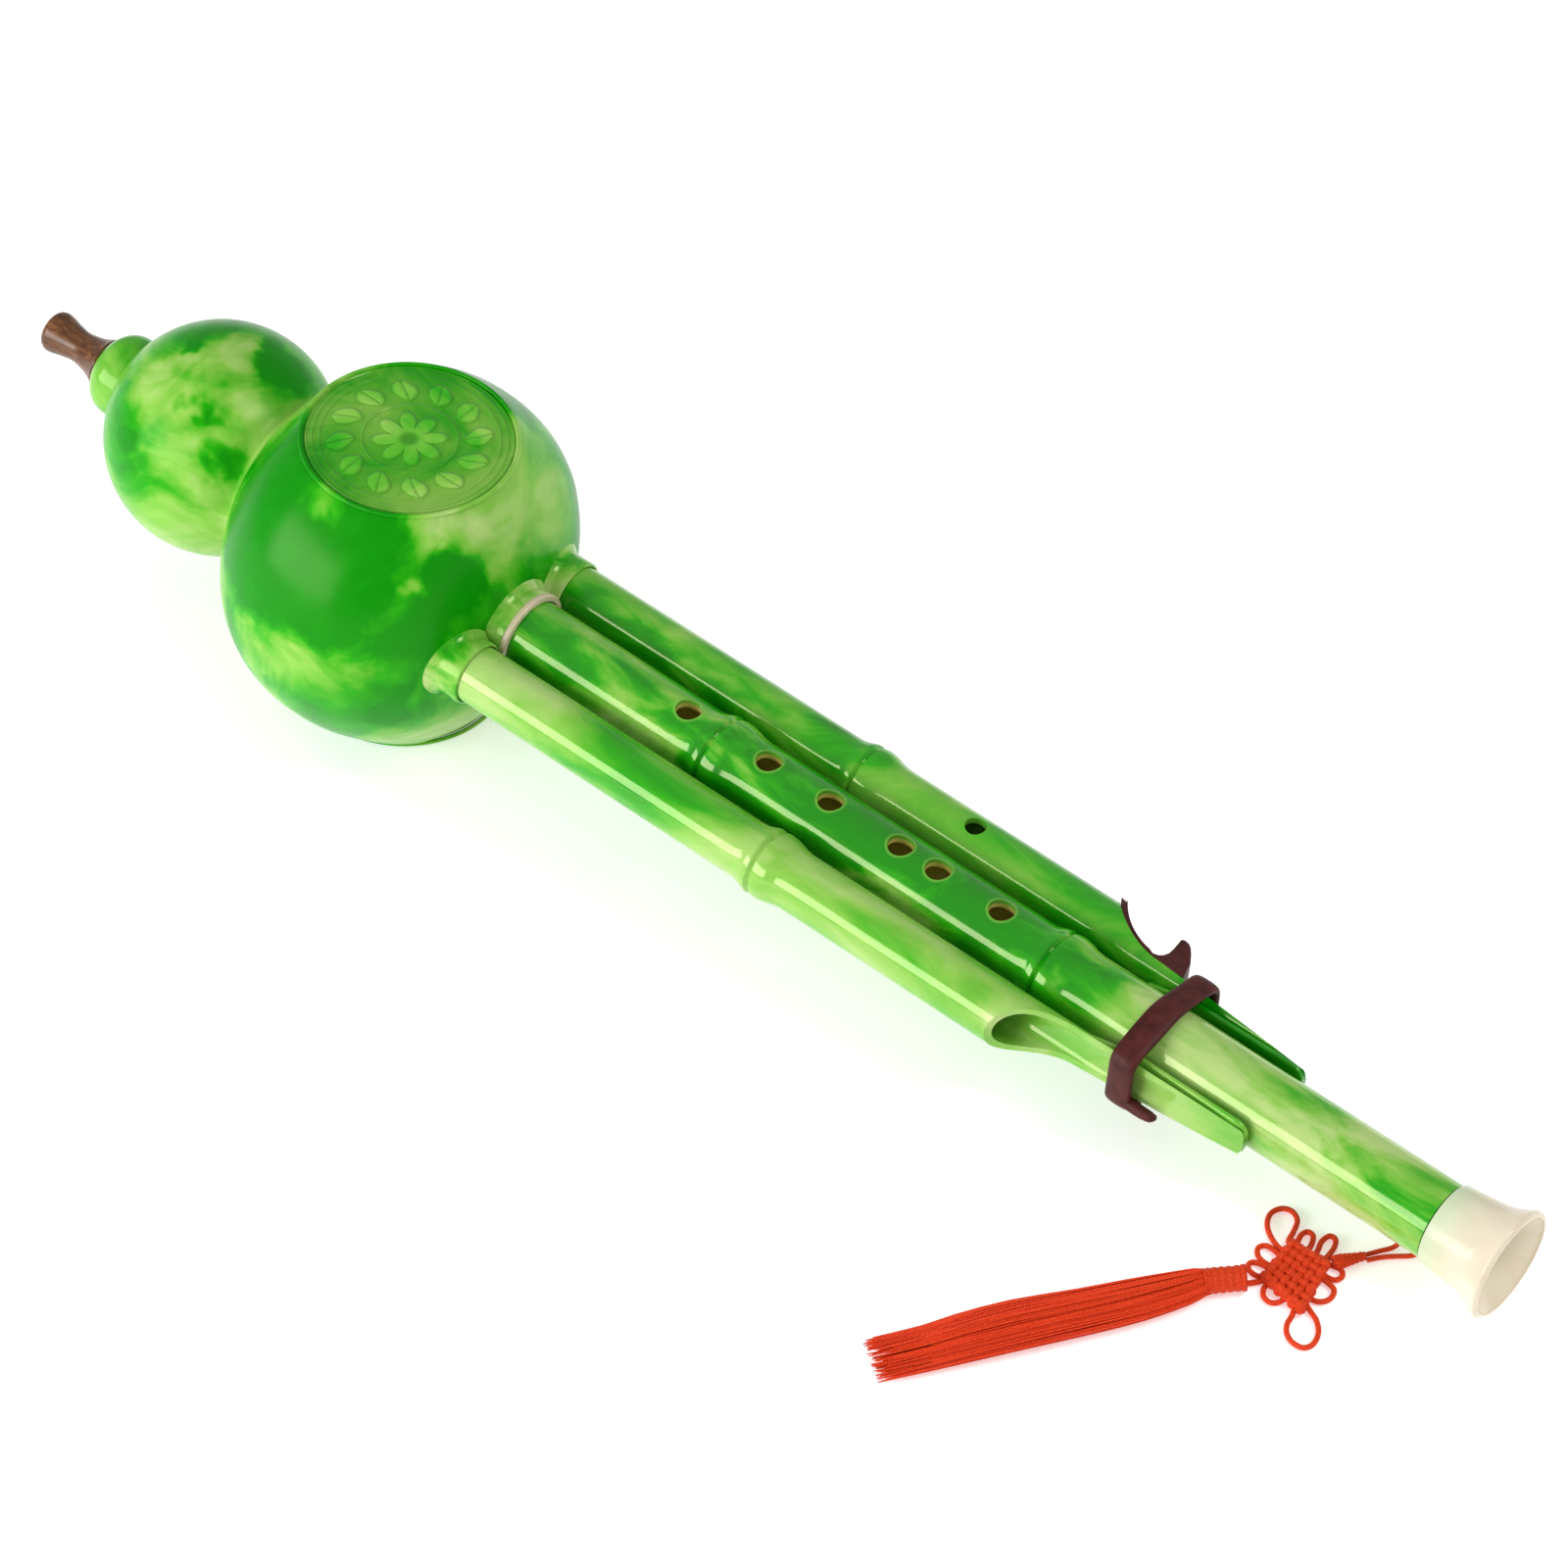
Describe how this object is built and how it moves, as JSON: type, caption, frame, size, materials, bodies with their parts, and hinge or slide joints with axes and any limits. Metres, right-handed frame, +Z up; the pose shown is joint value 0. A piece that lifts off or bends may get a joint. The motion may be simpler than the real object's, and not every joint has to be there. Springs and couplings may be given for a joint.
{
  "type": "cucurbit flute",
  "caption": "Free-reed gourd flute: marbled green gourd wind chest, fingered main pipe between two drone pipes, rubber band and stopper, cream bell and red knotted tassel.",
  "frame": {"origin": "on the floor plane, below the middle of the instrument's bounding box, tassel and cord left out", "axes": "+X along the instrument from the mouthpiece to the bell, +Y towards the drone pipe that carries the stopper, +Z up, out of the finger-hole side"},
  "size_m": [0.4398, 0.1523, 0.082],
  "materials": {
    "gourd_plastic": "glossy moulded plastic marbled deep green and pale yellow-green like jade",
    "medallion_plastic": "glossy marbled green disc with a fine engraved pattern",
    "socket_plastic": "glossy pale green plastic",
    "pipe_plastic": "glossy marbled green plastic with long pale streaks",
    "mouthpiece_wood": "dark brown turned wood under gloss lacquer",
    "bell_plastic": "glossy cream plastic, slightly translucent",
    "dark_rubber": "satin dark maroon rubber",
    "seal_rubber": "matt maroon rubber",
    "plug_plastic": "cream plastic",
    "reed_brass": "polished brass sheet",
    "red_cord": "bright red silky knotting cord and tassel thread"
  },
  "bodies": {
    "gourd": {"gourd_front_shell": "gourd_plastic", "gourd_back_shell": "gourd_plastic", "medallion_front": "medallion_plastic", "medallion_back": "medallion_plastic", "neck_collar": "gourd_plastic", "pipe_socket": "socket_plastic"},
    "mouthpiece": {"mouthpiece": "mouthpiece_wood"},
    "main_pipe": {"main_pipe": "pipe_plastic", "main_seal": "seal_rubber", "main_end_plug": "plug_plastic", "main_reed_plate": "reed_brass", "hanging_cord": "red_cord", "cord_braid": "red_cord", "knot": "red_cord", "knot_tail": "red_cord", "tassel_head": "red_cord", "tassel_skirt": "red_cord"},
    "near_drone": {"near_drone_pipe": "pipe_plastic", "near_drone_seal": "seal_rubber", "near_drone_end_plug": "plug_plastic", "near_drone_reed_plate": "reed_brass"},
    "far_drone": {"far_drone_pipe": "pipe_plastic", "far_drone_seal": "seal_rubber", "far_drone_end_plug": "plug_plastic", "far_drone_reed_plate": "reed_brass"},
    "bell": {"bell": "bell_plastic"},
    "stopper": {"drone_stopper": "dark_rubber"},
    "band": {"rubber_band": "dark_rubber"},
    "main_reed": {"main_reed_tongue": "reed_brass"},
    "near_drone_reed": {"near_drone_reed_tongue": "reed_brass"},
    "far_drone_reed": {"far_drone_reed_tongue": "reed_brass"}
  },
  "joints": [
    {"name": "mouthpiece_pull", "type": "slide", "parent": "gourd", "child": "mouthpiece", "axis": [-0.9964, 0, 0.0845], "range_m": [0, 0.012]},
    {"name": "main_pipe_pull", "type": "slide", "parent": "gourd", "child": "main_pipe", "axis": [0.9964, 0, -0.0845], "range_m": [0, 0.008]},
    {"name": "near_drone_pull", "type": "slide", "parent": "gourd", "child": "near_drone", "axis": [0.9964, 0, -0.0845], "range_m": [0, 0.008]},
    {"name": "far_drone_pull", "type": "slide", "parent": "gourd", "child": "far_drone", "axis": [0.9964, 0, -0.0845], "range_m": [0, 0.008]},
    {"name": "bell_pull", "type": "slide", "parent": "main_pipe", "child": "bell", "axis": [0.9964, 0, -0.0845], "range_m": [0, 0.012]},
    {"name": "stopper_pull", "type": "slide", "parent": "far_drone", "child": "stopper", "axis": [0, 1, 0], "range_m": [0, 0.015]},
    {"name": "band_slide", "type": "slide", "parent": "far_drone", "child": "band", "axis": [0.9964, 0, -0.0845], "range_m": [-0.001, 0.02]},
    {"name": "main_reed_bend", "type": "hinge", "parent": "main_pipe", "child": "main_reed", "pos_m": [-0.1106, 0, 0.04991], "axis": [0, 1, 0], "range_deg": [-3, 3], "stiffness_Nm_per_rad": 0.001},
    {"name": "near_drone_reed_bend", "type": "hinge", "parent": "near_drone", "child": "near_drone_reed", "pos_m": [-0.0972, -0.0181, 0.04697], "axis": [0, 1, 0], "range_deg": [-3, 3], "stiffness_Nm_per_rad": 0.001},
    {"name": "far_drone_reed_bend", "type": "hinge", "parent": "far_drone", "child": "far_drone_reed", "pos_m": [-0.0972, 0.0181, 0.04697], "axis": [0, 1, 0], "range_deg": [-3, 3], "stiffness_Nm_per_rad": 0.001}
  ]
}
